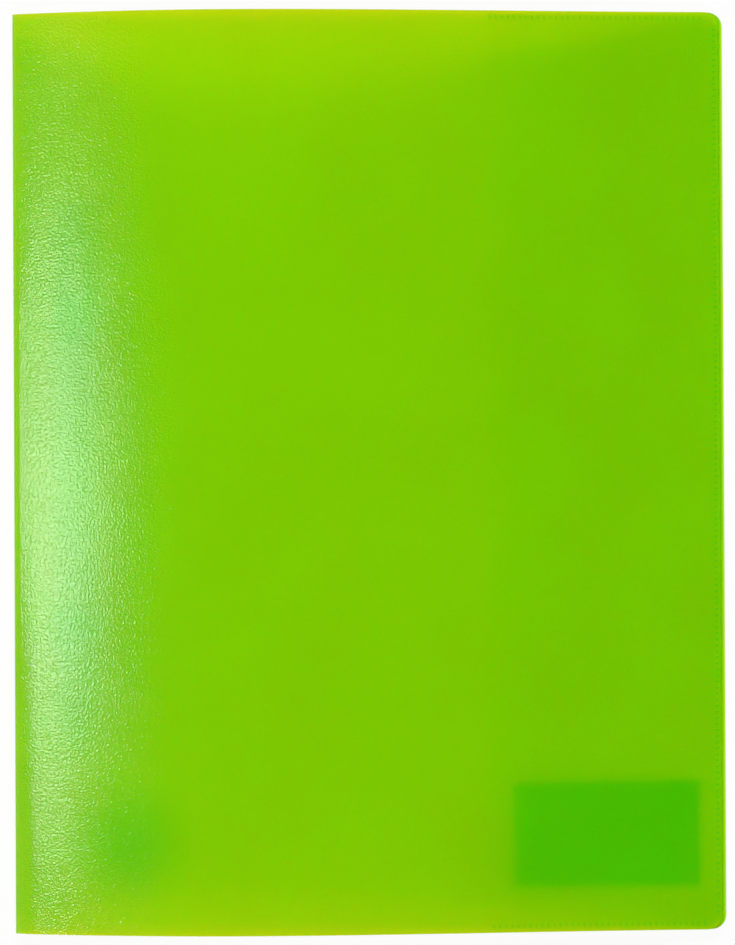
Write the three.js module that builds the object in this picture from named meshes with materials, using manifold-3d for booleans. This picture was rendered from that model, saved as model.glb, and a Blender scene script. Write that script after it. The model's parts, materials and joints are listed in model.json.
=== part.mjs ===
// A fastener folder for A4 sheets, made of coloured translucent plastic film. It lies closed on its back
// cover. Millimetres, +Z up, spine towards -X, top of the sheets towards +Y, and the origin in the middle of
// the footprint, on the table.
import * as THREE from "three";
import { mergeVertices } from "three/addons/utils/BufferGeometryUtils.js";
import Module from "manifold-3d";

const wasm = await Module();
wasm.setup();

// Covers
const coverWidth = 240; // across the back cover, spine included
const coverHeight = 310; // along the spine
const coverFilm = 0.45; // film of the covers and the spine
const cornerRadius = 5; // at the free edge
const layerGap = 0.2; // air between two films that lie on each other

// Spine, a half tube of film with two pressed creases
const spineRadius = 2; // to the middle of the film
const creaseTurn = 45; // degrees from the spine's outermost line round to each crease
const creaseGap = 0.3; // between the panels that meet at a crease
const creaseSkin = 0.1; // the bending line lies this far outside the film

// Arch that the closed front cover keeps
const crestHeight = 14.6; // to the middle of the film
const crestFromSpine = 76;
const crestReach = 50; // how far the level of the crest carries on towards the free edge
const edgeReach = 55; // how far the slope at the free edge carries back
const edgeSlope = 0.05; // fall of the cover beside its free edge, which it comes down on
const straightEdge = 3; // straight film beside the free edge
const arcSteps = 6;
const riseSteps = 14;
const fallSteps = 24;

// Inner pocket, a thin sheet welded behind the front cover on three sides
const pocketFilm = 0.2;
const pocketWidth = 80; // from its open edge to the back cover's free edge
const pocketInset = 1; // from the front cover's other edges
const pocketHem = 3; // width of the weld along an edge
const pocketEndRise = 10; // length over which the sheet climbs to the weld at its two ends
const pocketColumns = 12; // over the part that hangs free
const pocketEdgeColumns = 4; // over the part that climbs to the free edge
const pocketEndRows = 5;

// Label: a card in a small film pocket on the inner pocket
const cardLength = 62.6;
const cardHeight = 35;
const cardThickness = 0.2;
const cardRightFromEdge = 9.4; // from the free edge of the back cover
const cardBottomFromEdge = 15.2; // from the lower edge of the covers
const cardPlay = 0.06; // between the card and what it slides on
const labelGap = 0.05; // between the label pocket's right end and the cover, which lies on it
const labelFilm = 0.12;
const labelRim = 1.2; // welded rim round three sides of the card
const labelSidePlay = 0.5; // between the card and the rim
const labelNotchRadius = 8; // finger notch in the open side

// Filing strip, a film strip with a raised channel, welded on the back cover beside the spine
const stripFilm = 0.3;
const stripLength = 300;
const stripLand = 8; // flat land on each side of the channel
const stripSlope = 2; // length of each sloping side of the channel
const stripCornerRadius = 3;

// Fastener: one steel strip whose two prongs come up through the filing strip and the cover bar
const holeSpacing = 80; // the standard spacing of two punched holes
const fastenerFromSpine = 21.4;
const prongWidth = 5;
const prongThickness = 0.3;
const prongLength = 48; // beyond the hole
const bendRadius = 0.6; // to the middle of the steel
const slotPlay = 0.3; // round a prong in its slots

// Cover bar that holds the sheets down
const barLength = 182;
const barWidth = 12;
const barThickness = 1.2;
const beadWidth = 1; // guide bead along each side, which the locks run on
const beadUnder = 0.6; // from the bar's underside up to the bead
const beadHeight = 0.9;
const barEndRadius = 4;
const beadEndInset = 5; // the beads stop short of the bar's ends

// Locks: two moulded clips that slide over the folded prongs
const lockLength = 12;
const lockWall = 0.9;
const lockPlay = 0.3; // over the prong and beside the beads
const lockHook = 1; // hook under the bead
const lockHookHeight = 0.3;
const lockFromMiddle = 52;
const lockCornerRadius = 1.5;
const ribCount = 4;
const ribWidth = 0.8;
const ribPitch = 2;
const ribHeight = 0.5;
const ribInset = 2.2; // from the lock's sides

const degrees = Math.PI / 180;
const spineX = -coverWidth / 2;
const spineCentre = new THREE.Vector2(
  spineX + coverFilm / 2 + spineRadius,
  coverFilm / 2 + spineRadius,
);

const filmGreen = new THREE.MeshStandardMaterial({ color: 0x7cc800, roughness: 0.45 });
const pocketGreen = new THREE.MeshStandardMaterial({ color: 0x8ad21c, roughness: 0.3 });
const labelClear = new THREE.MeshStandardMaterial({ color: 0xa6dd5a, roughness: 0.25 });
const cardGreen = new THREE.MeshStandardMaterial({ color: 0x3fae4a, roughness: 0.8 });
const barGreen = new THREE.MeshStandardMaterial({ color: 0x6cb800, roughness: 0.4 });
const steel = new THREE.MeshStandardMaterial({ color: 0xc4c8cc, roughness: 0.3, metalness: 0.9 });

// Joining and cutting

function solid(geometry) {
  const bare = geometry.index ? geometry.toNonIndexed() : geometry.clone();
  bare.deleteAttribute("normal");
  bare.deleteAttribute("uv");
  const merged = mergeVertices(bare, 1e-4);
  return new wasm.Manifold(
    new wasm.Mesh({
      numProp: 3,
      vertProperties: new Float32Array(merged.attributes.position.array),
      triVerts: new Uint32Array(merged.index.array),
    }),
  );
}

function geometryOf(manifold) {
  const mesh = manifold.getMesh();
  const positions = new Float32Array(mesh.numVert * 3);
  for (let i = 0; i < mesh.numVert; i++) {
    const start = i * mesh.numProp;
    positions.set(mesh.vertProperties.subarray(start, start + 3), i * 3);
  }
  const geometry = new THREE.BufferGeometry();
  geometry.setAttribute("position", new THREE.BufferAttribute(positions, 3));
  geometry.setIndex(new THREE.BufferAttribute(new Uint32Array(mesh.triVerts), 1));
  geometry.computeVertexNormals();
  return geometry;
}

function named(name, geometry, material) {
  const mesh = new THREE.Mesh(geometry, material);
  mesh.name = name;
  return mesh;
}

// Shapes

// A section drawn in X and Z, drawn out along Y and centred on Y = 0.
function alongY(section, length) {
  const geometry = new THREE.ExtrudeGeometry(section, { depth: length, bevelEnabled: false });
  geometry.rotateX(Math.PI / 2);
  geometry.translate(0, length / 2, 0);
  return geometry;
}

// A plan drawn in X and Y, drawn out between two heights.
function alongZ(plan, low, high, curveSegments = 8) {
  const geometry = new THREE.ExtrudeGeometry(plan, {
    depth: high - low,
    bevelEnabled: false,
    curveSegments,
  });
  geometry.translate(0, 0, low);
  return geometry;
}

// A rectangle with one radius on its left corners and another on its right corners.
function roundedPlan(left, right, bottom, top, leftRadius, rightRadius) {
  const plan = new THREE.Shape();
  plan.moveTo(left + leftRadius, bottom);
  plan.lineTo(right - rightRadius, bottom);
  if (rightRadius) plan.absarc(right - rightRadius, bottom + rightRadius, rightRadius, -Math.PI / 2, 0);
  plan.lineTo(right, top - rightRadius);
  if (rightRadius) plan.absarc(right - rightRadius, top - rightRadius, rightRadius, 0, Math.PI / 2);
  plan.lineTo(left + leftRadius, top);
  if (leftRadius) plan.absarc(left + leftRadius, top - leftRadius, leftRadius, Math.PI / 2, Math.PI);
  plan.lineTo(left, bottom + leftRadius);
  if (leftRadius) plan.absarc(left + leftRadius, bottom + leftRadius, leftRadius, Math.PI, 1.5 * Math.PI);
  plan.closePath();
  return plan;
}

// The closed section of a strip of even thickness, from the line that its middle follows.
function stripSection(middle, thickness) {
  const offset = (side) =>
    middle.map((point, i) => {
      const before = middle[Math.max(i - 1, 0)];
      const after = middle[Math.min(i + 1, middle.length - 1)];
      const into = point.clone().sub(before).normalize();
      const out = after.clone().sub(point).normalize();
      if (i === 0) into.copy(out);
      if (i === middle.length - 1) out.copy(into);
      const bisector = into.add(out).normalize();
      const mitre = (side * thickness) / 2 / Math.abs(bisector.dot(out));
      return new THREE.Vector2(point.x - bisector.y * mitre, point.y + bisector.x * mitre);
    });
  return new THREE.Shape([...offset(-1), ...offset(1).reverse()]);
}

// Points along a circle round the spine's centre, between two angles in degrees, ends included.
function spineArc(from, to) {
  return Array.from({ length: arcSteps + 1 }, (_, i) => {
    const angle = (from + ((to - from) * i) / arcSteps) * degrees;
    return new THREE.Vector2(
      spineCentre.x + spineRadius * Math.cos(angle),
      spineCentre.y + spineRadius * Math.sin(angle),
    );
  });
}

function lengthOf(points) {
  return points.slice(1).reduce((sum, point, i) => sum + point.distanceTo(points[i]), 0);
}

// Lines that the films follow, in X and Z

const halfCreaseGap = Math.asin(creaseGap / 2 / spineRadius) / degrees;
const backCrease = 180 + creaseTurn;
const frontCrease = 180 - creaseTurn;

// The back cover climbs from the table to its crease.
const backMiddle = [
  ...spineArc(backCrease + halfCreaseGap, 270),
  new THREE.Vector2(coverWidth / 2, coverFilm / 2),
];

const spineMiddle = spineArc(backCrease - halfCreaseGap, frontCrease + halfCreaseGap);

// Where the card and its pocket end, beside the free edge
const cardRight = coverWidth / 2 - cardRightFromEdge;
const labelRight = cardRight + labelSidePlay + labelRim;

// Heights of the layers at the label's right end, from the table up. The cover lies on them there.
const backClearance = coverFilm + layerGap + pocketFilm / 2; // lowest middle of the pocket sheet
const cardRoom = cardThickness + 2 * cardPlay;
const labelStack = pocketFilm / 2 + layerGap / 2 + cardRoom + labelFilm;
const coverOverLabel = backClearance + labelStack + labelGap + coverFilm / 2;

const crest = new THREE.Vector2(spineX + crestFromSpine, crestHeight);
const landingX = coverWidth / 2 - straightEdge;
const landing = new THREE.Vector2(landingX, coverOverLabel - (landingX - labelRight) * edgeSlope);

// The front cover leaves the spine at the slope of a parabola that ends level at the crest.
const riseAngle = Math.atan2(
  2 * (crest.y - spineCentre.y - spineRadius),
  crest.x - spineCentre.x,
);
const shoulder = spineArc(frontCrease - halfCreaseGap, 90 + riseAngle / degrees);
const shoulderEnd = shoulder[shoulder.length - 1];
const riseHandle = new THREE.Vector2(
  shoulderEnd.x + (crest.y - shoulderEnd.y) / Math.tan(riseAngle),
  crest.y,
);
const rise = new THREE.QuadraticBezierCurve(shoulderEnd, riseHandle, crest);
const fall = new THREE.CubicBezierCurve(
  crest,
  new THREE.Vector2(crest.x + crestReach, crest.y),
  new THREE.Vector2(landing.x - edgeReach, landing.y + edgeReach * edgeSlope),
  landing,
);
const arch = [...shoulder, ...rise.getPoints(riseSteps).slice(1), ...fall.getPoints(fallSteps).slice(1)];

// Both covers are cut to one width from the crease, so the arch draws the front cover's edge back.
const frontEdge = landing.x + (lengthOf(backMiddle) - lengthOf(arch)) / Math.hypot(1, edgeSlope);
const frontMiddle = [
  ...arch,
  new THREE.Vector2(frontEdge, landing.y - (frontEdge - landing.x) * edgeSlope),
];

// Height of the middle of the front cover's film over a place along X.
function frontHeight(x) {
  const i = frontMiddle.findIndex((point) => point.x >= x);
  const [a, b] = [frontMiddle[Math.max(i - 1, 0)], frontMiddle[i]];
  return a === b ? b.y : a.y + ((b.y - a.y) * (x - a.x)) / (b.x - a.x);
}

// Covers

function cover(middle, freeEdge) {
  const plan = roundedPlan(spineX - 1, freeEdge, -coverHeight / 2, coverHeight / 2, 0, cornerRadius);
  const film = solid(alongY(stripSection(middle, coverFilm), coverHeight + 2));
  return geometryOf(film.intersect(solid(alongZ(plan, -1, crestHeight + coverFilm + 1))));
}

function spinePanel() {
  return alongY(stripSection(spineMiddle, coverFilm), coverHeight);
}

// Label pocket and card lie in a plane of their own, which slopes with the inner pocket

const labelLeft = cardRight - cardLength + 1;
const cardMiddleY = -coverHeight / 2 + cardBottomFromEdge + cardHeight / 2;
const labelHalfHeight = cardHeight / 2 + labelSidePlay + labelRim;

// Middle of the pocket sheet at the label's right end, where the cover presses label and sheet together
const pocketRest = frontHeight(labelRight) - coverFilm / 2 - labelGap - labelStack;

// The pocket sheet hangs as steeply as the label lets it, while that clears the front cover.
const pocketSlope = Math.min(
  ...Array.from({ length: 40 }, (_, i) => {
    const x = labelLeft + ((labelRight - 4 - labelLeft) * i) / 39;
    const room = frontHeight(x) - coverFilm / 2 - labelGap - labelStack - pocketRest;
    return room / (labelRight - x);
  }),
);

// Middle of the pocket sheet where it hangs free
function hangingHeight(x) {
  return pocketRest + pocketSlope * (labelRight - x);
}

// Middle of the pocket sheet where it is welded to the front cover
function weldedHeight(x) {
  return frontHeight(x) - coverFilm / 2 - layerGap - pocketFilm / 2;
}

// Even steps from one value to another, both included
function spread(from, to, steps) {
  return Array.from({ length: steps + 1 }, (_, i) => from + ((to - from) * i) / steps);
}

function smooth(t) {
  const s = Math.min(Math.max(t, 0), 1);
  return s * s * (3 - 2 * s);
}

// Inner pocket: a grid sheet that climbs to the front cover along its free edge and both ends
function innerPocket() {
  const left = coverWidth / 2 - pocketWidth;
  const right = frontEdge - pocketInset;
  const end = coverHeight / 2 - pocketInset;
  const xs = [
    ...spread(left, labelRight, pocketColumns),
    ...spread(labelRight, right, pocketEdgeColumns).slice(1),
  ];
  const climb = spread(end - pocketHem - pocketEndRise, end - pocketHem, pocketEndRows);
  const ys = [-end, ...climb.map((y) => -y).reverse(), ...climb, end];
  const heightAt = (x, y) => {
    const towardsEnd = smooth((Math.abs(y) - (end - pocketHem - pocketEndRise)) / pocketEndRise);
    const towardsEdge = smooth((x - labelRight) / (right - pocketHem / 2 - labelRight));
    const welded = Math.max(towardsEnd, towardsEdge);
    return hangingHeight(x) * (1 - welded) + weldedHeight(x) * welded;
  };
  const plan = roundedPlan(left - 1, right, -end, end, 0, cornerRadius - pocketInset);
  const sheet = solid(gridSheet(xs, ys, heightAt, pocketFilm));
  return geometryOf(sheet.intersect(solid(alongZ(plan, -1, crestHeight))));
}

// A closed sheet of even height over a grid of places
function gridSheet(xs, ys, heightAt, thickness) {
  const positions = [];
  for (const side of [1, -1]) {
    for (const y of ys) {
      for (const x of xs) {
        positions.push(x, y, heightAt(x, y) + (side * thickness) / 2);
      }
    }
  }
  const [columns, rows] = [xs.length, ys.length];
  const top = (i, j) => j * columns + i;
  const under = (i, j) => columns * rows + top(i, j);
  const triangles = [];
  const quad = (a, b, c, d) => triangles.push(a, b, c, a, c, d);
  for (let j = 0; j < rows - 1; j++) {
    for (let i = 0; i < columns - 1; i++) {
      quad(top(i, j), top(i + 1, j), top(i + 1, j + 1), top(i, j + 1));
      quad(under(i, j), under(i, j + 1), under(i + 1, j + 1), under(i + 1, j));
    }
  }
  for (let i = 0; i < columns - 1; i++) {
    quad(under(i, 0), under(i + 1, 0), top(i + 1, 0), top(i, 0));
    quad(top(i, rows - 1), top(i + 1, rows - 1), under(i + 1, rows - 1), under(i, rows - 1));
  }
  for (let j = 0; j < rows - 1; j++) {
    quad(top(0, j), top(0, j + 1), under(0, j + 1), under(0, j));
    quad(under(columns - 1, j), under(columns - 1, j + 1), top(columns - 1, j + 1), top(columns - 1, j));
  }
  const geometry = new THREE.BufferGeometry();
  geometry.setAttribute("position", new THREE.Float32BufferAttribute(positions, 3));
  geometry.setIndex(triangles);
  return geometry;
}

// A plane whose origin is at the label pocket's right end, on the pocket sheet, with X along its slope
function labelPlane() {
  const plane = new THREE.Group();
  plane.position.set(labelRight, cardMiddleY, pocketRest + pocketFilm / 2 + layerGap / 2);
  plane.rotation.y = Math.atan(pocketSlope);
  return plane;
}

// A film over the card with a rim under it on three sides; the side towards the spine is open.
function labelPocket() {
  const length = labelRight - labelLeft;
  const outline = roundedPlan(-length, 0, -labelHalfHeight, labelHalfHeight, 0, labelRim);
  const film = solid(alongZ(outline, cardRoom, cardRoom + labelFilm));
  const inner = roundedPlan(
    -length - 1,
    -labelRim,
    -labelHalfHeight + labelRim,
    labelHalfHeight - labelRim,
    0,
    0,
  );
  const rim = solid(alongZ(outline, 0, cardRoom)).subtract(solid(alongZ(inner, -1, cardRoom + 1)));
  const notch = new THREE.CylinderGeometry(labelNotchRadius, labelNotchRadius, 2 * cardRoom + 2, 24);
  notch.rotateX(Math.PI / 2);
  notch.translate(-length, 0, cardRoom);
  return geometryOf(film.add(rim).subtract(solid(notch)));
}

function labelCard() {
  const right = -labelRim - labelSidePlay;
  const outline = roundedPlan(right - cardLength, right, -cardHeight / 2, cardHeight / 2, 0.6, 0.6);
  return alongZ(outline, cardPlay, cardPlay + cardThickness, 3);
}

// Fastener

const fastenerX = spineX + fastenerFromSpine;
const holeY = holeSpacing / 2;
const steelMiddle = coverFilm + prongThickness / 2;
const stripTop = coverFilm + prongThickness + layerGap + stripFilm; // top of the raised channel
const barTop = stripTop + barThickness;
const prongMiddle = barTop + layerGap / 2 + prongThickness / 2;

// A slot for one prong through the filing strip or the cover bar
function prongSlot(side) {
  const width = prongWidth + 2 * slotPlay;
  const height = prongThickness + 2 * slotPlay;
  const slot = new THREE.BoxGeometry(width, height, barTop + 2);
  slot.translate(fastenerX, side * holeY, barTop / 2 + 0.5);
  return solid(slot);
}

function filingStrip() {
  const low = coverFilm + stripFilm / 2;
  const high = stripTop - stripFilm / 2;
  const halfChannel = barWidth / 2 + 0.2;
  const left = fastenerX - halfChannel - stripSlope;
  const right = fastenerX + halfChannel + stripSlope;
  const middle = [
    new THREE.Vector2(left - stripLand, low),
    new THREE.Vector2(left, low),
    new THREE.Vector2(left + stripSlope, high),
    new THREE.Vector2(right - stripSlope, high),
    new THREE.Vector2(right, low),
    new THREE.Vector2(right + stripLand, low),
  ];
  const half = stripLength / 2;
  const plan = roundedPlan(left - stripLand, right + stripLand, -half, half, stripCornerRadius, stripCornerRadius);
  const strip = solid(alongY(stripSection(middle, stripFilm), stripLength + 2));
  const trimmed = strip.intersect(solid(alongZ(plan, 0, stripTop + 1)));
  return geometryOf(trimmed.subtract(prongSlot(1)).subtract(prongSlot(-1)));
}

// One steel strip: a base under the filing strip, a riser at each hole and a prong folded outwards
function fastenerStrip() {
  const bend = (y, z, from, to) =>
    Array.from({ length: 5 }, (_, i) => {
      const angle = (from + ((to - from) * i) / 4) * degrees;
      return new THREE.Vector2(y + bendRadius * Math.cos(angle), z + bendRadius * Math.sin(angle));
    });
  const tip = holeY + prongLength;
  const half = [
    ...bend(holeY - bendRadius, steelMiddle + bendRadius, 270, 360),
    ...bend(holeY + bendRadius, prongMiddle - bendRadius, 180, 90),
    new THREE.Vector2(tip, prongMiddle),
  ];
  const mirrored = half.map((point) => new THREE.Vector2(-point.x, point.y)).reverse();
  const section = stripSection([...mirrored, ...half], prongThickness);
  const steelStrip = new THREE.ExtrudeGeometry(section, { depth: prongWidth + 2, bevelEnabled: false });
  steelStrip.rotateX(Math.PI / 2);
  steelStrip.rotateZ(Math.PI / 2);
  steelStrip.translate(fastenerX - prongWidth / 2 - 1, 0, 0);
  const plan = roundedPlan(-prongWidth / 2, prongWidth / 2, -tip, tip, prongWidth / 2, prongWidth / 2);
  const trim = alongZ(plan, -1, barTop + 3, 6);
  trim.translate(fastenerX, 0, 0);
  return geometryOf(solid(steelStrip).intersect(solid(trim)));
}

// Cover bar: a flat bar with a guide bead along each side
function coverBar() {
  const [halfWidth, halfLength] = [barWidth / 2, barLength / 2];
  const core = halfWidth - beadWidth;
  const plan = roundedPlan(-core, core, -halfLength, halfLength, barEndRadius, barEndRadius);
  const bar = alongZ(plan, stripTop, barTop);
  bar.translate(fastenerX, 0, 0);
  let whole = solid(bar);
  for (const side of [-1, 1]) {
    const outline = [
      [core - 0.2, 0],
      [halfWidth - 0.3, 0],
      [halfWidth, 0.3],
      [halfWidth, beadHeight - 0.3],
      [halfWidth - 0.3, beadHeight],
      [core - 0.2, beadHeight],
    ];
    const bead = new THREE.Shape(
      outline.map(([x, z]) => new THREE.Vector2(fastenerX + side * x, stripTop + beadUnder + z)),
    );
    whole = whole.add(solid(alongY(bead, barLength - 2 * (barEndRadius + beadEndInset))));
  }
  return geometryOf(whole.subtract(prongSlot(1)).subtract(prongSlot(-1)));
}

// Lock: a clip whose walls hook under both beads, with thumb ribs on its roof
function lock() {
  const inner = barWidth / 2 + lockPlay;
  const outer = inner + lockWall;
  const hookEnd = inner - lockHook;
  const foot = stripTop + (beadUnder - lockHookHeight) / 2;
  const roofUnder = prongMiddle + prongThickness / 2 + lockPlay;
  const roof = roofUnder + lockWall;
  const chamfer = lockWall * 0.6;
  const right = [
    [hookEnd, foot],
    [outer, foot],
    [outer, roof - chamfer],
    [outer - chamfer, roof],
  ];
  const inside = [
    [inner, roofUnder],
    [inner, foot + lockHookHeight],
    [hookEnd, foot + lockHookHeight],
  ];
  const mirror = (points) => points.map(([x, z]) => [-x, z]).reverse();
  const section = [...right, ...mirror(right), ...mirror(inside), ...inside];
  const body = alongY(new THREE.Shape(section.map(([x, z]) => new THREE.Vector2(x, z))), lockLength);
  const half = lockLength / 2;
  const plan = roundedPlan(-outer, outer, -half, half, lockCornerRadius, lockCornerRadius);
  let clip = solid(body).intersect(solid(alongZ(plan, 0, roof + 1, 4)));
  for (let i = 0; i < ribCount; i++) {
    const halfRib = outer - ribInset;
    const section = new THREE.Shape([
      new THREE.Vector2(-ribWidth / 2, -0.2),
      new THREE.Vector2(ribWidth / 2, -0.2),
      new THREE.Vector2(ribWidth / 4, ribHeight),
      new THREE.Vector2(-ribWidth / 4, ribHeight),
    ]);
    const rib = new THREE.ExtrudeGeometry(section, { depth: 2 * halfRib, bevelEnabled: false });
    rib.rotateX(Math.PI / 2);
    rib.rotateZ(Math.PI / 2);
    rib.translate(-halfRib, (i - (ribCount - 1) / 2) * ribPitch, roof);
    clip = clip.add(solid(rib));
  }
  return geometryOf(clip);
}

// The folder

const folder = new THREE.Group();

const back = new THREE.Group();
back.add(named("back_cover", cover(backMiddle, coverWidth / 2), filmGreen));
back.add(named("filing_strip", filingStrip(), filmGreen));
back.add(named("fastener_strip", fastenerStrip(), steel));
back.add(named("cover_bar", coverBar(), barGreen));
folder.add(back);

folder.add(named("spine_panel", spinePanel(), filmGreen));

const front = new THREE.Group();
front.add(named("front_cover", cover(frontMiddle, frontEdge), filmGreen));
front.add(named("inner_pocket", innerPocket(), pocketGreen));
const label = labelPlane();
label.add(named("label_pocket", labelPocket(), labelClear));
label.add(named("label_card", labelCard(), cardGreen));
front.add(label);
folder.add(front);

for (const [name, side] of [
  ["lock_upper", 1],
  ["lock_lower", -1],
]) {
  const clip = named(name, lock(), barGreen);
  clip.position.set(fastenerX, side * lockFromMiddle, 0);
  folder.add(clip);
}

// The bending lines of the two creases, which the covers turn about
const creaseRadius = spineRadius + coverFilm / 2 + creaseSkin;
for (const [name, angle] of [
  ["back", backCrease],
  ["front", frontCrease],
]) {
  const x = spineCentre.x + creaseRadius * Math.cos(angle * degrees);
  const z = spineCentre.y + creaseRadius * Math.sin(angle * degrees);
  console.log(`${name} crease axis x ${x.toFixed(3)} z ${z.toFixed(3)}`);
}
console.log(`front edge x ${frontEdge.toFixed(3)}, landing ${landing.y.toFixed(4)}`);
console.log(`pocket sheet ${pocketRest.toFixed(4)} at the label, slope ${pocketSlope.toFixed(6)}`);

export default folder;
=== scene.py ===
"""A fastener folder for A4 sheets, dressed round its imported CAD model. Metres, +Z up, spine towards -X."""

import json
import math

import bmesh
import bpy
import numpy as np
from mathutils import Matrix, Vector


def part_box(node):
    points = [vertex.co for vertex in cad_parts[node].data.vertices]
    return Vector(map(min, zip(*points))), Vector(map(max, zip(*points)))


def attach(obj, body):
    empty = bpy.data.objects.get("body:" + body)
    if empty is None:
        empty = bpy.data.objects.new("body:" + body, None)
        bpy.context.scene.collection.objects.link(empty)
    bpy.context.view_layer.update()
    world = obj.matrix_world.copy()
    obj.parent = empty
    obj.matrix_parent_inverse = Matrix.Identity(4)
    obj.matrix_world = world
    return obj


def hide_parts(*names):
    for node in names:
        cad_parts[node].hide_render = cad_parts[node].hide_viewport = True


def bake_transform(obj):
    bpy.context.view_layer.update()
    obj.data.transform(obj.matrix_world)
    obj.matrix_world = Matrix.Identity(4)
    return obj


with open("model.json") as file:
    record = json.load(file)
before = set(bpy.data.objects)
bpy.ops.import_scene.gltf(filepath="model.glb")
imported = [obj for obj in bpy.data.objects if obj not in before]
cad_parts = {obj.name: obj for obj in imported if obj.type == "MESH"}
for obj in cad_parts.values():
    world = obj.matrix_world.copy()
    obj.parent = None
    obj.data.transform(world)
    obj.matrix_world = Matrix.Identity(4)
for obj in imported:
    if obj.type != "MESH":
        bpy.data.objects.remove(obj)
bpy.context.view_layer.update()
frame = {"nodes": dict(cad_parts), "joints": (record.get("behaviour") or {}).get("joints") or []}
scene = bpy.context.scene

# Camera
# It looks straight down on the closed folder from just over a metre, a hair off square: the lower end lies
# nearer to it, and the folder stands turned by a quarter of a degree in the picture.
picture_height = 945  # pixels
pixel_size = 0.0003384  # metres of table in one pixel
camera_distance = 1.2
camera_tilt = math.radians(0.37)
camera_roll = math.radians(-0.27)
sensor_size = 36  # millimetres
aim = Vector((-0.00063, -0.00018, 0))

camera_lens = bpy.data.cameras.new("camera")
camera_lens.sensor_width = sensor_size
camera_lens.lens = sensor_size * camera_distance / (picture_height * pixel_size)
camera = bpy.data.objects.new("camera", camera_lens)
camera.matrix_world = (
    Matrix.Translation(aim)
    @ Matrix.Rotation(camera_tilt, 4, "X")
    @ Matrix.Translation((0, 0, camera_distance))
    @ Matrix.Rotation(camera_roll, 4, "Z")
)
scene.collection.objects.link(camera)
scene.camera = camera
scene.view_settings.view_transform = "Standard"

# Table and lamps
# A white table, an oval softbox on the left whose reflection lies along the spine, a low lamp beyond each end
# that shines in between the covers, and a plain room with pale walls and a dim ceiling.
table_reach = 6  # from its middle to each side
table_drop = 0.00002  # below the folder, so that the two never share a plane
table_colour = (0.88, 0.88, 0.88, 1)
table_shadow = 0.08  # how much of the table's own light and shade the camera sees
wall_light = 0.20
ceiling_light = 0.01
wall_fades = (0.35, 0.8)  # how far a ray rises, to its length, where the wall starts to fade and has faded
plain_white = (1, 1, 1, 1)


class Look:
    """A socket in a node tree. Sums written with it add Math nodes, and node() adds any other node."""

    def __init__(self, tree, socket=None):
        self.tree = tree
        self.socket = socket

    def node(self, kind, settings, inputs, output=0):
        made = self.tree.nodes.new("ShaderNode" + kind)
        for name, value in settings.items():
            setattr(made, name, value)
        for name, value in inputs.items():
            if isinstance(value, Look):
                self.tree.links.new(value.socket, made.inputs[name])
            else:
                made.inputs[name].default_value = value
        return Look(self.tree, made.outputs[output] if made.outputs else None)

    def sum(self, operation, *values):
        return self.node("Math", {"operation": operation}, dict(enumerate(values)))

    def __add__(self, other):
        return self.sum("ADD", self, other)

    def __radd__(self, other):
        return self.sum("ADD", other, self)

    def __rsub__(self, other):
        return self.sum("SUBTRACT", other, self)

    def __mul__(self, other):
        return self.sum("MULTIPLY", self, other)

    def __rmul__(self, other):
        return self.sum("MULTIPLY", other, self)

    def most(self, other):
        return self.sum("MAXIMUM", self, other)

    def step(self, low, high):
        """0 below low and 1 above high, smoothly."""
        return self.node(
            "MapRange",
            {"interpolation_type": "SMOOTHSTEP"},
            {"Value": self, "From Min": low, "From Max": high},
        )

    def tint(self, first, second):
        """The first colour where this is 0 and the second where it is 1."""
        return self.node("Mix", {"data_type": "RGBA"}, {0: self, 6: first, 7: second}, 2)


def material(name):
    made = bpy.data.materials.new(name)
    made.use_nodes = True
    made.node_tree.nodes.clear()
    return made, Look(made.node_tree)


def shown_white(look):
    """Two masks: the camera's rays, and those of camera, metal and glass, which see a white background."""
    path = look.node("LightPath", {}, {})
    ray = {s.name: Look(look.tree, s) for s in path.socket.node.outputs}
    mirrored = ray["Is Glossy Ray"] + ray["Is Transmission Ray"] * (1 - ray["Is Diffuse Ray"])
    return ray["Is Camera Ray"], ray["Is Camera Ray"].most(mirrored)


table_corners = [(-1, -1), (1, -1), (1, 1), (-1, 1)]
table_mesh = bpy.data.meshes.new("table")
table_mesh.from_pydata(
    [(x * table_reach, y * table_reach, -table_drop) for x, y in table_corners], [], [(0, 1, 2, 3)]
)
table = bpy.data.objects.new("table", table_mesh)
scene.collection.objects.link(table)
table_finish, look = material("white table")
seen = shown_white(look)[1]
lit = look.node("BsdfDiffuse", {}, {"Color": table_colour})
glow = look.node("Emission", {}, {"Color": plain_white, "Strength": 1})
faded = look.node("MixShader", {}, {0: seen * (1 - table_shadow), 1: lit, 2: glow})
look.node("OutputMaterial", {}, {"Surface": faded})
table_mesh.materials.append(table_finish)

room = bpy.data.worlds.new("room")
room.use_nodes = True
room.node_tree.nodes.clear()
scene.world = room
look = Look(room.node_tree)
direction = look.node("TexCoord", {}, {}, "Generated")
height = look.node("SeparateXYZ", {}, {"Vector": direction}, "Z")
wall = 1 - height.step(*wall_fades)
by_camera, by_any = shown_white(look)
light = ceiling_light + wall * (wall_light - ceiling_light)
white = by_camera.most(by_any * wall)
strength = light + white * (1 - light)
sky = look.node("Background", {}, {"Color": plain_white, "Strength": strength})
look.node("OutputWorld", {}, {"Surface": sky})


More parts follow.
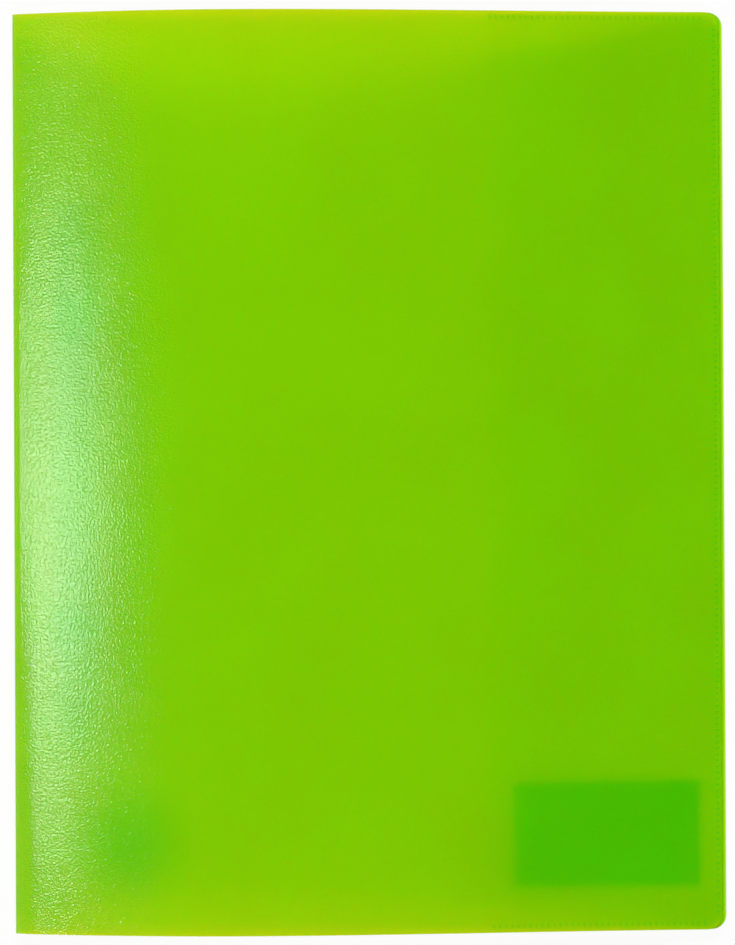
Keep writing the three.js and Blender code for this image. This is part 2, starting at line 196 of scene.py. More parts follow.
def softbox(name, tilt, heading, distance, width, length, radiance, shape="RECTANGLE"):
    """A lamp that faces the folder from tilt degrees off the vertical, heading degrees round from +X."""
    lamp = bpy.data.lights.new(name, "AREA")
    lamp.shape = shape
    lamp.size = width
    lamp.size_y = length
    filled = math.pi / 4 if shape == "ELLIPSE" else 1
    lamp.energy = radiance * math.pi * width * length * filled
    box = bpy.data.objects.new(name, lamp)
    box.matrix_world = (
        Matrix.Rotation(math.radians(heading), 4, "Z")
        @ Matrix.Rotation(math.radians(tilt), 4, "Y")
        @ Matrix.Translation((0, 0, distance))
    )
    box.visible_camera = False
    scene.collection.objects.link(box)


softbox(
    "softbox", tilt=35.6, heading=182.5, distance=1.2, width=0.28, length=0.34, radiance=14, shape="ELLIPSE"
)
softbox("far lamp", tilt=64, heading=90, distance=4, width=1, length=3, radiance=18)
softbox("near lamp", tilt=46, heading=270, distance=4, width=1, length=3, radiance=6.5)

# Front cover
# The front half of one sheet of green polypropylene film with a fine sandy face. It comes off the spine in a
# tight shoulder, arches up over the sheets and comes down flat to its free edge, which has rounded corners.
cover_height = 0.310
cover_film = 0.00045
corner_radius = 0.005
spine_radius = 0.002
spine_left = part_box("spine_panel")[0].x
spine_centre = (spine_left + cover_film / 2 + spine_radius, cover_film / 2 + spine_radius)
crease_turn = 45  # degrees from the spine's middle to each crease
crease_width = 0.0003
half_crease = math.degrees(math.asin(crease_width / 2 / spine_radius))
crest = (-0.044, 0.0146)
landing = (0.117, 0.00143)
crest_reach = 0.050  # length of the curve's handle at the crest
edge_reach = 0.055  # and where it lands
edge_slope = 0.05
rise_angle = math.atan2(2 * (crest[1] - spine_centre[1] - spine_radius), crest[0] - spine_centre[0])
front_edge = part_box("front_cover")[1].x
shoulder_steps = 16
rise_steps = 400
fall_steps = 800
column_step = 0.0015
corner_columns = 14
front_rows = np.linspace(-1, 1, 125)
film_sharp = 30  # degrees between two faces from which their edge is drawn sharp

film_reflected = (0.01, 0.55, 0.0, 1)
film_passed_out = (0.84, 0.25, 0.008, 1)  # through the outer face
inner_face_painted_shade = (0.415, 0.27, 0.008, 1)  # through the inner face: painted shade, less red than through the outer face, so the light inside the folder looks less golden
face_turns = (0.2, 0.4)  # how level a face lies where the inner colour starts, and where it is reached
margin_painted_light = (0.24, 0.79, 0.0, 1)  # painted light: lighter film beside a cut edge that shows, lifting the shade there
rim_painted_glow = (0.54, 0.88, 0.03, 1)  # at that edge: a painted glow, the film's colour made bright
rim_width = 0.0010
margin_starts = (2.2, 1.7)  # rim widths from the edge: still film, and all margin
rim_gloss = 0.25
film_gloss = 0.13
plastic_bend = 1.49  # index of refraction
film_shine = 0.4
film_grain = 0.00062  # across one grain of the sandy face
film_grain_depth = 0.000075
grain_start = -0.1185  # the press has flattened the grain from the spine to here
grain_grows_over = 0.0008
cloud_scale = 28  # soft clouds in the dye, to a metre
pattern_turns = (0.3, 0.7)  # of a noise, where one colour starts to give way and where the other is reached
cloud_shade = 0.95
cloud_gloss = 0.04
onward_share = 0.3  # of the passed light, keeps near its way, so that what lies close behind shows sharper
onward_blur = 0.8
onward_bend = 1.45
shade_spot_place = (-0.081, -0.124, 0.013)  # middle of a soft spot of painted shade low beside the spine, where the film passes less light
shade_spot_radius = 0.027
shade_spot_passed = (0.12, 0.03, 0.0, 1)
shade_spot_share = 0.52


def shaded(colour, share):
    return tuple(share * channel for channel in colour[:3]) + (1,)


def passed_light(look, colour, bump):
    """The light that film lets through: most of it scattered, the rest near the way that it came."""
    scattered = look.node("BsdfTranslucent", {}, {"Color": colour, "Normal": bump})
    onward = look.node(
        "BsdfRefraction", {}, {"Color": colour, "Roughness": onward_blur, "IOR": onward_bend, "Normal": bump}
    )
    return look.node("MixShader", {}, {0: onward_share, 1: scattered, 2: onward})


def film_finish(
    name, reflected, passed, gloss, grain, grain_depth, sandy_from=None, edge=None, shade_spot_at=None, inner=None
):
    """Translucent film: dyed plastic that throws part of the light back and lets part through.

    sandy_from is where its grain starts in X, and edge where a cut edge shows, along which a margin and rim
    of painted glow are laid. The argument after edge is the middle of a soft spot of painted shade, where the
    film passes less light. The last is what its inner face lets through, a painted shade that passes less red
    than the outer face, with 1 where that face looks up at rest and -1 where it looks down. A sheet is
    closed, so a ray
    meets it twice: the film acts on the way in, and is clear on the way out.
    """
    made, look = material(name)
    place = look.node("TexCoord", {}, {}, "Object")
    sand = look.node("TexNoise", {}, {"Vector": place, "Scale": 1 / grain, "Detail": 0})
    clouds = look.node("TexNoise", {}, {"Vector": place, "Scale": cloud_scale, "Detail": 3})
    if sandy_from is not None:
        across = look.node("SeparateXYZ", {}, {"Vector": place}, "X")
        sand = sand * across.step(sandy_from, sandy_from + grain_grows_over)
    bump = look.node("Bump", {}, {"Height": sand, "Distance": grain_depth, "Strength": 1})
    plastic = look.node(
        "BsdfPrincipled",
        {},
        {
            "Base Color": clouds.step(*pattern_turns).tint(shaded(reflected, cloud_shade), reflected),
            "Roughness": gloss + cloud_gloss * clouds,
            "IOR": plastic_bend,
            "Specular IOR Level": film_shine,
            "Normal": bump,
        },
    )
    through = passed_light(look, passed, bump)
    # Painted shade: a soft round spot where the film lets less light through, red most of all.
    if shade_spot_at is not None:
        away = look.node("VectorMath", {"operation": "DISTANCE"}, {0: place, 1: shade_spot_at}, "Value")
        painted_shade_film = look.node("BsdfTranslucent", {}, {"Color": shade_spot_passed, "Normal": bump})
        spot = shade_spot_share * (1 - away.step(0, shade_spot_radius))
        through = look.node("MixShader", {}, {0: spot, 1: through, 2: painted_shade_film})
    # Painted shade: faces that look into the folder let less red through than the outer face of the same
    # film.
    if inner is not None:
        inner_shade_passed, up = inner
        inner_shade_through = passed_light(look, inner_shade_passed, bump)
        faces = look.node("TexCoord", {}, {}, "Normal")
        looks_in = up * look.node("SeparateXYZ", {}, {"Vector": faces}, "Z")
        through = look.node("MixShader", {}, {0: looks_in.step(*face_turns), 1: through, 2: inner_shade_through})
    film = look.node("AddShader", {}, {0: plastic, 1: through})
    # Painted glow along a cut edge that shows: a margin and a rim lighter than the film, standing in for the
    # light there.
    if edge is not None:
        side = look.node("SeparateXYZ", {}, {"Vector": place}, "X")
        painted_rim_colour = side.step(edge - rim_width, edge).tint(margin_painted_light, rim_painted_glow)
        rim = look.node("BsdfPrincipled", {}, {"Base Color": painted_rim_colour, "Roughness": rim_gloss})
        painted_edge_mask = side.step(*(edge - start * rim_width for start in margin_starts))
        film = look.node("MixShader", {}, {0: painted_edge_mask, 1: film, 2: rim})
    inside = look.node("NewGeometry", {}, {}, "Backfacing")
    clear = look.node("BsdfTransparent", {}, {})
    whole = look.node("MixShader", {}, {0: inside, 1: film, 2: clear})
    look.node("OutputMaterial", {}, {"Surface": whole})
    return made


def piece_of(name, mesh, finish, sharp=film_sharp):
    """A piece with smooth faces and sharp edges, at the origin."""
    made = bpy.data.objects.new(name, mesh)
    scene.collection.objects.link(made)
    mesh.shade_smooth()
    mesh.set_sharp_from_angle(angle=math.radians(sharp))
    mesh.materials.clear()
    mesh.materials.append(finish)
    return made


def film_sheet(name, line, ends, rows, thickness, finish, lift=None):
    """A closed sheet of film.

    line is its middle in X and Z, ends how far each column reaches in Y, rows the shares of that reach at
    which it has points, and lift how far a place in X and Y is raised.
    """
    line = np.array(line)
    ends = np.array(ends)
    rows = np.array(rows)
    along = np.gradient(line, axis=0)
    along /= np.linalg.norm(along, axis=1)[:, None]
    square = np.stack([-along[:, 1], along[:, 0]], axis=1)
    columns, count = len(line), len(rows)
    y = rows[:, None] * ends[None, :]
    raised = lift(line[None, :, 0], y) if lift else np.zeros_like(y)
    sides = []
    for side in (0.5, -0.5):
        x = line[:, 0] + side * thickness * square[:, 0]
        z = line[:, 1] + side * thickness * square[:, 1]
        sides.append(np.stack([x + 0 * y, y, z + raised], axis=-1).reshape(-1, 3))
    under = columns * count
    at = np.arange(under).reshape(count, columns)
    a, b, c, d = at[:-1, :-1], at[:-1, 1:], at[1:, 1:], at[1:, :-1]
    faces = [np.stack([a, b, c, d], -1).reshape(-1, 4)]
    faces.append(np.stack([a, d, c, b], -1).reshape(-1, 4) + under)
    for rim in (at[0, ::-1], at[-1], at[:, 0], at[::-1, -1]):
        first, second = rim[:-1], rim[1:]
        faces.append(np.stack([first, second, second + under, first + under], -1))
    mesh = bpy.data.meshes.new(name)
    mesh.from_pydata(np.concatenate(sides).tolist(), [], np.concatenate(faces).tolist())
    return piece_of(name, mesh, finish)


def spine_arc(start, stop, steps):
    """Points on the circle of the spine's film, between two angles in degrees."""
    angles = np.radians(np.linspace(start, stop, steps + 1))
    x = spine_centre[0] + spine_radius * np.cos(angles)
    z = spine_centre[1] + spine_radius * np.sin(angles)
    return np.stack([x, z], axis=1)


def bezier(points, steps):
    t = np.linspace(0, 1, steps + 1)[:, None]
    points = [np.array(p)[None, :] for p in points]
    while len(points) > 1:
        points = [a * (1 - t) + b * t for a, b in zip(points, points[1:])]
    return points[0]


def with_corners(xs, edge, half, radius):
    """How far a sheet with rounded corners at its right edge reaches in Y at each x."""
    over = np.clip(np.array(xs) - (edge - radius), 0, radius)
    return half - radius + np.sqrt(radius**2 - over**2)


def corner_places(edge, radius, steps):
    return edge - radius * (1 - np.sin(np.linspace(0, math.pi / 2, steps + 1)))


shoulder = spine_arc(180 - crease_turn - half_crease, 90 + math.degrees(rise_angle), shoulder_steps)
rise_handle = (shoulder[-1, 0] + (crest[1] - shoulder[-1, 1]) / math.tan(rise_angle), crest[1])
crest_handle = (crest[0] + crest_reach, crest[1])
landing_handle = (landing[0] - edge_reach, landing[1] + edge_reach * edge_slope)
rise = bezier([shoulder[-1], rise_handle, crest], rise_steps)
fall = bezier([crest, crest_handle, landing_handle, landing], fall_steps)
last_point = (front_edge, landing[1] - (front_edge - landing[0]) * edge_slope)
arch = np.concatenate([rise, fall[1:], [last_point]])


def arch_height(x):
    return np.interp(x, arch[:, 0], arch[:, 1])


open_columns = np.arange(shoulder[-1, 0] + column_step, front_edge - corner_radius, column_step)
cover_columns = np.concatenate([open_columns, corner_places(front_edge, corner_radius, corner_columns)])
front_line = np.concatenate([shoulder, np.stack([cover_columns, arch_height(cover_columns)], axis=1)])

# Film is never quite even. This sheet has a shallow buckle beside the spine, low down, under its spot of
# painted shade.
# Its fold stands up rounder towards the lower end, and a little beside the upper prong, over which the film
# was once pressed into a faint ridge.
buckle_place = (-0.0775, -0.124)
buckle_size = (0.016, 0.020)
buckle_depth = 0.00025
fold_tilt = 0.14
fold_steep = 0.0022
fold_eases_over = 0.0045
fold_fades_over = 0.033
fold_along = (-0.155, -0.130, -0.100, -0.074, -0.047, -0.016, 0.050, 0.075, 0.100, 0.125, 0.155)
fold_share = (1.1, 1.0, 0.72, 0.6, 0.3, 0.0, 0.0, 0.3, 0.35, 0.1, 0.1)
ridge_height = 0.00007
ridge_sides = (-0.1010, -0.0962, -0.088)  # its left foot, its top and its right foot
ridge_ends = (0.059, 0.0885)
ridge_softness = 0.003


def smooth(t):
    t = np.clip(t, 0, 1)
    return t * t * (3 - 2 * t)


def front_lift(x, y):
    """How far the unevenness raises the front cover."""
    far = ((x - buckle_place[0]) / buckle_size[0]) ** 2 + ((y - buckle_place[1]) / buckle_size[1]) ** 2
    past_fold = x - shoulder[0, 0]
    easing = np.clip((past_fold - fold_steep) / fold_eases_over, 0, 1)
    fold = np.minimum(past_fold, fold_steep) + fold_eases_over * (easing - easing**3 + easing**4 / 2)
    fold = fold * (1 - smooth((past_fold - fold_steep - fold_eases_over) / fold_fades_over))
    left, top, right = ridge_sides
    ridge = smooth((x - left) / (top - left)) * smooth((right - x) / (right - top))
    ridge = ridge * smooth((y - ridge_ends[0]) / ridge_softness)
    ridge = ridge * smooth((ridge_ends[1] - y) / ridge_softness)
    fold = fold_tilt * fold * np.interp(y, fold_along, fold_share)
    return fold + ridge_height * ridge - buckle_depth * np.exp(-far)


front_film = film_finish(
    "sandy film, front",
    film_reflected,
    film_passed_out,
    film_gloss,
    film_grain,
    film_grain_depth,
    grain_start,
    shade_spot_at=shade_spot_place,
    inner=(inner_face_painted_shade, -1),
)
front_cover = film_sheet(
    "front_cover_film",
    front_line,
    with_corners(front_line[:, 0], front_edge, cover_height / 2, corner_radius),
    front_rows,
    cover_film,
    front_film,
    front_lift,
)
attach(front_cover, "front")
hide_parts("front_cover")

# Back cover
# The back half of the same sheet. It lies flat on the table and turns up to its crease beside the spine.
# Its free edge stands out past the front cover's, and its bright rim there is a painted glow on a lighter
# margin.
back_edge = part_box("back_cover")[1].x
back_turn_steps = 12
back_column_step = 0.004
back_rows = np.linspace(-1, 1, 63)

back_arc = spine_arc(180 + crease_turn + half_crease, 270, back_turn_steps)
back_open = np.arange(back_arc[-1, 0] + back_column_step, back_edge - corner_radius, back_column_step)
back_columns = np.concatenate([back_open, corner_places(back_edge, corner_radius, corner_columns)])
back_flat = np.stack([back_columns, np.full(len(back_columns), cover_film / 2)], axis=1)
back_line = np.concatenate([back_arc, back_flat])
back_film = film_finish(
    "sandy film, back",
    film_reflected,
    film_passed_out,
    film_gloss,
    film_grain,
    film_grain_depth,
    grain_start,
    edge=back_edge,
    inner=(inner_face_painted_shade, 1),
)
back_cover = film_sheet(
    "back_cover_film",
    back_line,
    with_corners(back_line[:, 0], back_edge, cover_height / 2, corner_radius),
    back_rows,
    cover_film,
    back_film,
)
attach(back_cover, "back")
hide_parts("back_cover")

# Spine and creases
# The narrow band of the sheet between the two pressed creases, smooth where the press has flattened its
# grain. Each crease is a thinner web of the same film.
spine_steps = 20
spine_rows = np.linspace(-1, 1, 63)
crease_film = 0.00028
crease_steps = 10
crease_rows = np.linspace(-1, 1, 32)
pressed_passed = (0.59, 0.245, 0.008, 1)
pressed_gloss = 0.30
pressed_grain_depth = 0.000003

pressed_film = film_finish(
    "pressed film", film_reflected, pressed_passed, pressed_gloss, film_grain, pressed_grain_depth
)
spine_line = spine_arc(180 + crease_turn - half_crease, 180 - crease_turn + half_crease, spine_steps)
spine_ends = np.full(len(spine_line), cover_height / 2)
spine = film_sheet("spine_film", spine_line, spine_ends, spine_rows, cover_film, pressed_film)
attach(spine, "spine")
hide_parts("spine_panel")
for name, middle, bodies in (
    ("back_crease", 180 + crease_turn, ("back", "spine")),
    ("front_crease", 180 - crease_turn, ("spine", "front")),
):
    web_line = spine_arc(middle + half_crease, middle - half_crease, crease_steps)
    web_ends = np.full(len(web_line), cover_height / 2)
    web = film_sheet(name, web_line, web_ends, crease_rows, crease_film, pressed_film)
    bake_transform(web)

# Inner pocket
# A thin smooth sheet welded behind the front cover along the top, the free edge and the bottom. It hangs down
# from its welds to its open edge, and lies on the back cover beside the free edge.
pocket_film = 0.0002
pocket_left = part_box("inner_pocket")[0].x
pocket_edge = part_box("inner_pocket")[1].x
pocket_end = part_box("inner_pocket")[1].y
pocket_inset = 0.001  # of its edge from the cover's
pocket_radius = corner_radius - pocket_inset
pocket_corner_columns = 10
pocket_hem = 0.003
pocket_climb = 0.010  # from where it hangs to its hem
climb_rows = 19
middle_rows = 90
layer_gap = 0.0002
label_gap = 0.00005
label_stack = 0.00064  # from the middle of the pocket's film to the top of the label pocket
label_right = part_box("label_pocket")[1].x
label_rest = arch_height(label_right) - cover_film / 2 - label_gap - label_stack
card_way = next(joint["axis"] for joint in frame["joints"] if joint["name"] == "card_slide")
label_slope = -card_way[2] / card_way[0]
pocket_reflected = (0.05, 0.26, 0.0, 1)
pocket_passed = (0.80, 0.66, 0.10, 1)
pocket_gloss = 0.28
smooth_grain = 0.0012
smooth_grain_depth = 0.000002


def welded_height(x):
    return arch_height(x) - cover_film / 2 - layer_gap - pocket_film / 2


def hanging_height(x):
    return label_rest + label_slope * (label_right - x)


def pocket_lift(x, y):
    """How far the welds hold the pocket up from the slope on which it hangs."""
    to_end = smooth((np.abs(y) - (pocket_end - pocket_hem - pocket_climb)) / pocket_climb)
    to_edge = smooth((x - label_right) / (pocket_edge - pocket_hem / 2 - label_right))
    welded = np.maximum(to_end, to_edge + 0 * y)
    return welded * (welded_height(x) - hanging_height(x)) + front_lift(x, y) * welded


pocket_open = np.arange(pocket_left, pocket_edge - pocket_radius, column_step)
pocket_corner = corner_places(pocket_edge, pocket_radius, pocket_corner_columns)
pocket_columns = np.concatenate([pocket_open, pocket_corner])
pocket_line = np.stack([pocket_columns, hanging_height(pocket_columns)], axis=1)
climb_share = (pocket_hem + pocket_climb) / pocket_end
end_rows = np.linspace(1 - climb_share, 1, climb_rows)
inner_rows = np.linspace(-1 + climb_share, 1 - climb_share, middle_rows)[1:-1]
pocket_rows = np.concatenate([-end_rows[::-1], inner_rows, end_rows])
pocket_finish = film_finish(
    "thin smooth film", pocket_reflected, pocket_passed, pocket_gloss, smooth_grain, smooth_grain_depth
)
inner_pocket = film_sheet(
    "inner_pocket_film",
    pocket_line,
    with_corners(pocket_columns, pocket_edge, pocket_end, pocket_radius),
    pocket_rows,
    pocket_film,
    pocket_finish,
    pocket_lift,
)
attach(inner_pocket, "front")
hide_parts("inner_pocket")

# Pocket welds
# Rows of small oval spots where a heated tool has melted the pocket's film into the cover, along its top,
# its bottom and its free edge. Each spot fills the gap between the two films, and shows as a low mark on the
# cover's face.
weld_inset = 0.0012  # from the pocket's ends
side_weld_inset = 0.0007  # from its right edge
weld_corner_gap = 0.001  # from its rounded corners
weld_points = 60  # in a line that the spots are set along
weld_size = (0.0004, 0.0009, 0.00012)  # half length along the row, half width, half thickness
mark_size = (0.00046, 0.00120, 0.00006)
mark_proud = 0.00002  # of the cover's outer face
weld_slant = math.radians(12)
weld_row = {"Pitch": 0.00204, "Unevenness": 0.12, "Seed": 3}
spot_segments = 10
spot_rings = 6
spot_sharp = 60
melted_reflected = (0.03, 0.45, 0.0, 1)
melted_passed = (0.55, 0.26, 0.0, 1)
melted_gloss = 0.3


def geometry_tree(name, inputs):
    """An empty Geometry Nodes tree with named inputs, and its input and output nodes."""
    tree = bpy.data.node_groups.new(name, "GeometryNodeTree")
    tree.interface.new_socket("Geometry", in_out="INPUT", socket_type="NodeSocketGeometry")
    for socket_name, kind in inputs.items():
        tree.interface.new_socket(socket_name, in_out="INPUT", socket_type="NodeSocket" + kind)
    tree.interface.new_socket("Geometry", in_out="OUTPUT", socket_type="NodeSocketGeometry")
    return tree, tree.nodes.new("NodeGroupInput"), tree.nodes.new("NodeGroupOutput")


def weld_tree():
    """Spots set at an even pitch along the edges of a mesh, each a little smaller or larger than the next."""
    inputs = {"Pitch": "Float", "Size": "Vector", "Unevenness": "Float", "Seed": "Int", "Finish": "Material"}
    tree, given, result = geometry_tree("weld row", inputs)
    put = tree.nodes.new
    to_curve = put("GeometryNodeMeshToCurve")
    spaced = put("GeometryNodeResampleCurve")
    spaced.mode = "LENGTH"
    tangent = put("GeometryNodeInputTangent")
    turned = put("FunctionNodeAlignRotationToVector")
    turned.axis = "X"
    slanted = put("FunctionNodeRotateRotation")
    slanted.rotation_space = "LOCAL"
    slanted.inputs["Rotate By"].default_value = (0, 0, weld_slant)
    spot = put("GeometryNodeMeshUVSphere")
    spot.inputs["Segments"].default_value = spot_segments
    spot.inputs["Rings"].default_value = spot_rings
    spot.inputs["Radius"].default_value = 1
    least = put("ShaderNodeMath")
    least.operation = "SUBTRACT"
    least.inputs[0].default_value = 1
    uneven = put("FunctionNodeRandomValue")
    uneven.inputs["Max"].default_value = 1
    scaled = put("ShaderNodeVectorMath")
    scaled.operation = "SCALE"
    placed = put("GeometryNodeInstanceOnPoints")
    real = put("GeometryNodeRealizeInstances")
    finished = put("GeometryNodeSetMaterial")
    for giver, output, taker, entry in (
        (given, "Geometry", to_curve, "Mesh"),
        (to_curve, "Curve", spaced, "Curve"),
        (given, "Pitch", spaced, "Length"),
        (spaced, "Curve", placed, "Points"),
        (spot, "Mesh", placed, "Instance"),
        (tangent, "Tangent", turned, "Vector"),
        (turned, "Rotation", slanted, "Rotation"),
        (slanted, "Rotation", placed, "Rotation"),
        (given, "Unevenness", least, 1),
        (least, "Value", uneven, "Min"),
        (given, "Seed", uneven, "Seed"),
        (given, "Size", scaled, 0),
        (uneven, "Value", scaled, "Scale"),
        (scaled, "Vector", placed, "Scale"),
        (placed, "Instances", real, "Geometry"),
        (real, "Geometry", finished, "Geometry"),
        (given, "Finish", finished, "Material"),
        (finished, "Geometry", result, "Geometry"),
    ):
        tree.links.new(giver.outputs[output], taker.inputs[entry])
    return tree


def plain_mesh(piece):
    """What a piece's modifiers make of it, as a mesh of its own."""
    bpy.context.view_layer.update()
    return bpy.data.meshes.new_from_object(piece.evaluated_get(bpy.context.evaluated_depsgraph_get()))


def grown(name, paths, tree, values, finish):
    """A piece from a Geometry Nodes tree that works on one or more lines of points."""
    points, edges = [], []
    for path in paths:
        edges += [(len(points) + i, len(points) + i + 1) for i in range(len(path) - 1)]
        points += [tuple(p) for p in path]
    lines = bpy.data.meshes.new(name + " lines")
    lines.from_pydata(points, edges, [])
    carrier = bpy.data.objects.new(name + " lines", lines)
    scene.collection.objects.link(carrier)
    modifier = carrier.modifiers.new("spots", "NODES")
    modifier.node_group = tree
    sockets = {s.name: s.identifier for s in tree.interface.items_tree if s.in_out == "INPUT"}
    for socket_name, value in {**values, "Finish": finish}.items():
        modifier[sockets[socket_name]] = value
    mesh = plain_mesh(carrier)
    bpy.data.objects.remove(carrier)
    mesh.name = name
    return piece_of(name, mesh, finish, spot_sharp)


def weld_line(xs, ys, over_middle):
    """Points over places in X and Y, at a height over the middle of the front cover's film."""
    return np.stack([xs, ys, arch_height(xs) + over_middle + front_lift(xs, ys)], axis=1)


welds = weld_tree()
corner_clear = pocket_radius + weld_corner_gap
end_places = np.linspace(pocket_left + weld_inset, pocket_edge - corner_clear, weld_points)
side_places = np.linspace(-pocket_end + corner_clear, pocket_end - corner_clear, weld_points)
weld_finish = film_finish(
    "melted film", melted_reflected, melted_passed, melted_gloss, smooth_grain, smooth_grain_depth
)
for name, size, over_middle in (
    ("pocket_welds", weld_size, -cover_film / 2 - layer_gap / 2),
    ("weld_marks", mark_size, cover_film / 2 - mark_size[2] + mark_proud),
):
    rows = [
        weld_line(end_places, np.full(weld_points, pocket_end - weld_inset), over_middle),
        weld_line(end_places, np.full(weld_points, -pocket_end + weld_inset), over_middle),
        weld_line(np.full(weld_points, pocket_edge - side_weld_inset), side_places, over_middle),
    ]
    spots = grown(name, rows, welds, {**weld_row, "Size": size}, weld_finish)
    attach(spots, "front")

# Label pocket and card
# A little clear film pocket welded on the inner pocket, open towards the spine, with a plain blue-green card
# in it. Both are the CAD model's own meshes. The film is all but clear, and the card is uncoated and blank.
label_haze = ((0.55, 0.62, 0.50, 1), (0.70, 0.76, 0.64, 1))
label_haze_scale = 140  # to a metre, as the patterns below
label_gloss = 0.14
haze_gloss = 0.08
label_cover = 0.015  # how much of what lies behind it the film hides
card_colour = (0.14, 0.56, 0.50, 1)
card_pale = 1.12
card_roughness = 0.8
card_shine = 0.3
fibre_scale = 3000
fibre_depth = 0.00002
mottle_scale = 260
mottle_turns = (0.35, 0.65)
mottle_roughness = 0.1


def dress(node, finish):
    """Gives a CAD node that is shown as it stands its finish."""
    for slot in frame["nodes"][node].material_slots:
        slot.material = finish


label_finish, look = material("clear label film")
place = look.node("TexCoord", {}, {}, "Object")
haze = look.node("TexNoise", {}, {"Vector": place, "Scale": label_haze_scale, "Detail": 3})
clear_film = look.node(
    "BsdfPrincipled",
    {},
    {
        "Base Color": haze.step(*pattern_turns).tint(*label_haze),
        "Roughness": label_gloss + haze_gloss * haze,
        "Alpha": label_cover + label_cover * haze,
    },
)
look.node("OutputMaterial", {}, {"Surface": clear_film})
dress("label_pocket", label_finish)

card_finish, look = material("green card")
place = look.node("TexCoord", {}, {}, "Object")
fibres = look.node("TexNoise", {}, {"Vector": place, "Scale": fibre_scale, "Detail": 4, "Roughness": 0.7})
mottle = look.node("TexNoise", {}, {"Vector": place, "Scale": mottle_scale, "Detail": 3})
paper_bump = look.node("Bump", {}, {"Height": fibres, "Distance": fibre_depth, "Strength": 1})
card = look.node(
    "BsdfPrincipled",
    {},
    {
        "Base Color": mottle.step(*mottle_turns).tint(card_colour, shaded(card_colour, card_pale)),
        "Roughness": card_roughness + mottle_roughness * mottle,
        "Specular IOR Level": card_shine,
        "Normal": paper_bump,
    },
)
look.node("OutputMaterial", {}, {"Surface": card})
dress("label_card", card_finish)

# Filing strip
# A strip of smooth film welded on the back cover beside the spine. Its raised channel covers the base of the
# steel fastener, with a slot for each prong, and a row of weld spots runs down each of its flat lands.
strip_film = 0.0003
strip_rounding = 0.00008
strip_reflected = (0.14, 0.42, 0.01, 1)
strip_passed = (0.85, 0.56, 0.04, 1)
strip_gloss = 0.26
strip_grain = 0.0009
strip_grain_depth = 0.000004
strip_weld_inset = 0.003  # from its sides
strip_weld_end = 0.008  # from its ends
strip_weld_points = 3
strip_weld_row = {"Pitch": 0.0035, "Size": (0.0009, 0.0006, 0.00006), "Unevenness": 0.15, "Seed": 8}
same_corner = 1e-6  # corners of a CAD mesh closer than this are one
same_plane = 1  # degrees between faces that are one flat face
rounded_from = 30  # degrees between faces whose edge is rounded


def softened(name, node, finish, width, segments):
    """A copy of a CAD node with its edges rounded, which stands for the node."""
    form = bmesh.new()
    form.from_mesh(frame["nodes"][node].data)
    bmesh.ops.remove_doubles(form, verts=form.verts, dist=same_corner)
    flat_angle = math.radians(same_plane)
    bmesh.ops.dissolve_limit(form, angle_limit=flat_angle, verts=form.verts, edges=form.edges)
    mesh = bpy.data.meshes.new(name)
    form.to_mesh(mesh)
    form.free()
    made = piece_of(name, mesh, finish)
    rounding = made.modifiers.new("rounded edges", "BEVEL")
    rounding.width = width
    rounding.segments = segments
    rounding.limit_method = "ANGLE"
    rounding.angle_limit = math.radians(rounded_from)
    rounding.harden_normals = True
    rounded = plain_mesh(made)
    made.modifiers.clear()
    made.data = rounded
    bpy.data.meshes.remove(mesh)
    rounded.name = name
    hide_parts(node)
    return made


strip_finish = film_finish(
    "strip film", strip_reflected, strip_passed, strip_gloss, strip_grain, strip_grain_depth
)
filing_strip = softened("filing_strip_film", "filing_strip", strip_finish, strip_rounding, segments=2)
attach(filing_strip, "back")

strip_low, strip_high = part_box("filing_strip")
strip_top = cover_film + strip_film
strip_places = np.linspace(strip_low.y + strip_weld_end, strip_high.y - strip_weld_end, strip_weld_points)
strip_lines = [
    [(x, y, strip_top) for y in strip_places]
    for x in (strip_low.x + strip_weld_inset, strip_high.x - strip_weld_inset)
]
strip_welds = grown("strip_welds", strip_lines, welds, strip_weld_row, weld_finish)
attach(strip_welds, "back")

# Fastener strip
# One bright rolled steel strip. Its base lies in the filing strip's channel, and its two ends are folded up
# through the slots and outwards as prongs.
steel_pale = (0.63, 0.64, 0.65, 1)
steel_dull = (0.50, 0.51, 0.52, 1)
steel_gloss = 0.22
steel_rounding = 0.00006
rolling_scale = (9000, 120, 9000)  # fine lines that run the way the strip was rolled
rolling_depth = 0.000006
rolling_gloss = 0.16
stain_scale = 180
stain_turns = (0.35, 0.75)

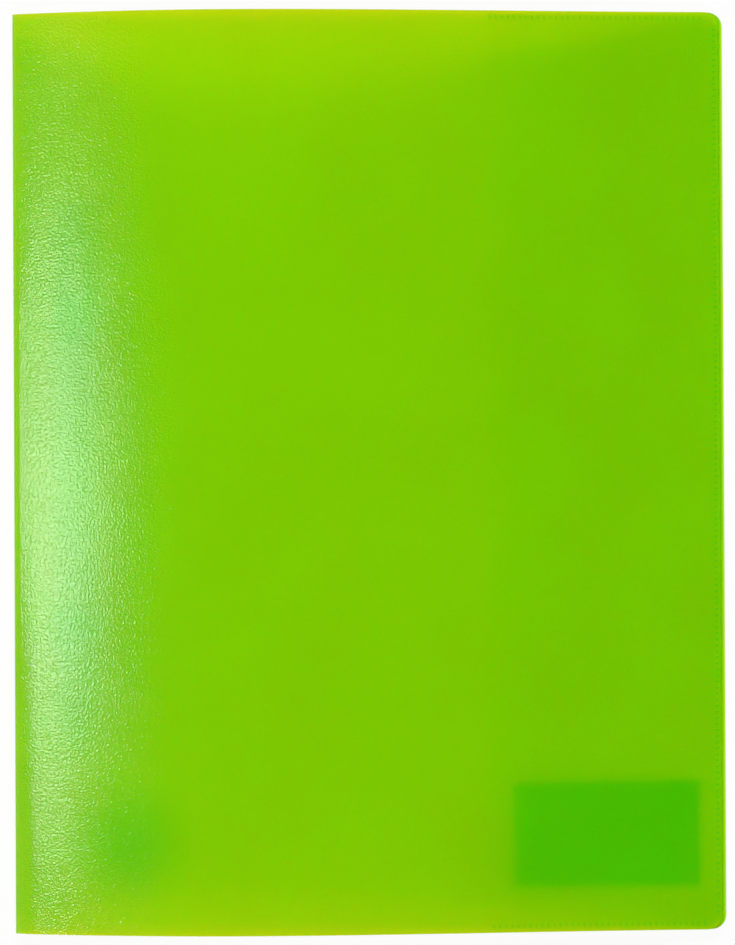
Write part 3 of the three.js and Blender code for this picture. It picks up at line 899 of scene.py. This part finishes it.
steel_finish, look = material("rolled steel")
place = look.node("TexCoord", {}, {}, "Object")
lengthwise = look.node("Mapping", {}, {"Vector": place, "Scale": rolling_scale})
rolled = look.node("TexNoise", {}, {"Vector": lengthwise, "Scale": 1, "Detail": 3})
stain = look.node("TexNoise", {}, {"Vector": place, "Scale": stain_scale, "Detail": 4})
steel_bump = look.node("Bump", {}, {"Height": rolled, "Distance": rolling_depth, "Strength": 0.8})
metal = look.node(
    "BsdfPrincipled",
    {},
    {
        "Base Color": stain.step(*stain_turns).tint(steel_pale, steel_dull),
        "Metallic": 1,
        "Roughness": steel_gloss + rolling_gloss * rolled,
        "Normal": steel_bump,
    },
)
look.node("OutputMaterial", {}, {"Surface": metal})
fastener_strip = softened("steel_fastener", "fastener_strip", steel_finish, steel_rounding, segments=2)
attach(fastener_strip, "back")

# Cover bar
# A moulded green bar that presses the punched sheets down, with a slot for each prong. A guide bead runs
# along each side for the locks.
bar_colour = (0.40, 0.68, 0.04, 1)
bar_gloss = 0.30
bar_rounding = 0.00012
flow_scale = (700, 90, 700)  # faint marks of the plastic's flow along the mould
flow_shade = 0.86
pore_scale = 5000
pore_depth = 0.000006
pore_gloss = 0.1
glow_share = 0.15
glow_reach = (0.0006, 0.0012, 0.0002)  # how deep red, green and blue go in


def moulded_finish(name, colour, gloss):
    """Dense moulded plastic with a satin face and faint flow marks."""
    made, look = material(name)
    place = look.node("TexCoord", {}, {}, "Object")
    drawn = look.node("Mapping", {}, {"Vector": place, "Scale": flow_scale})
    flow = look.node("TexNoise", {}, {"Vector": drawn, "Scale": 1, "Detail": 2})
    pores = look.node("TexNoise", {}, {"Vector": place, "Scale": pore_scale, "Detail": 2})
    bump = look.node("Bump", {}, {"Height": pores, "Distance": pore_depth, "Strength": 0.7})
    plastic = look.node(
        "BsdfPrincipled",
        {},
        {
            "Base Color": flow.step(*pattern_turns).tint(shaded(colour, flow_shade), colour),
            "Roughness": gloss + pore_gloss * pores,
            "IOR": plastic_bend,
            "Subsurface Weight": glow_share,
            "Subsurface Radius": glow_reach,
            "Subsurface Scale": 1,
            "Normal": bump,
        },
    )
    look.node("OutputMaterial", {}, {"Surface": plastic})
    return made


bar_finish = moulded_finish("moulded green", bar_colour, bar_gloss)
cover_bar = softened("pressure_bar", "cover_bar", bar_finish, bar_rounding, segments=3)
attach(cover_bar, "back")

# Locks
# Two moulded clips with thumb ribs, a little darker than the bar. Each slides along the bar's beads and
# holds its prong down.
lock_colour = (0.32, 0.62, 0.04, 1)
lock_gloss = 0.28

lock_finish = moulded_finish("moulded green, locks", lock_colour, lock_gloss)
for name, node in (("lock_upper_clip", "lock_upper"), ("lock_lower_clip", "lock_lower")):
    clip = softened(name, node, lock_finish, bar_rounding, segments=3)
    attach(clip, node)
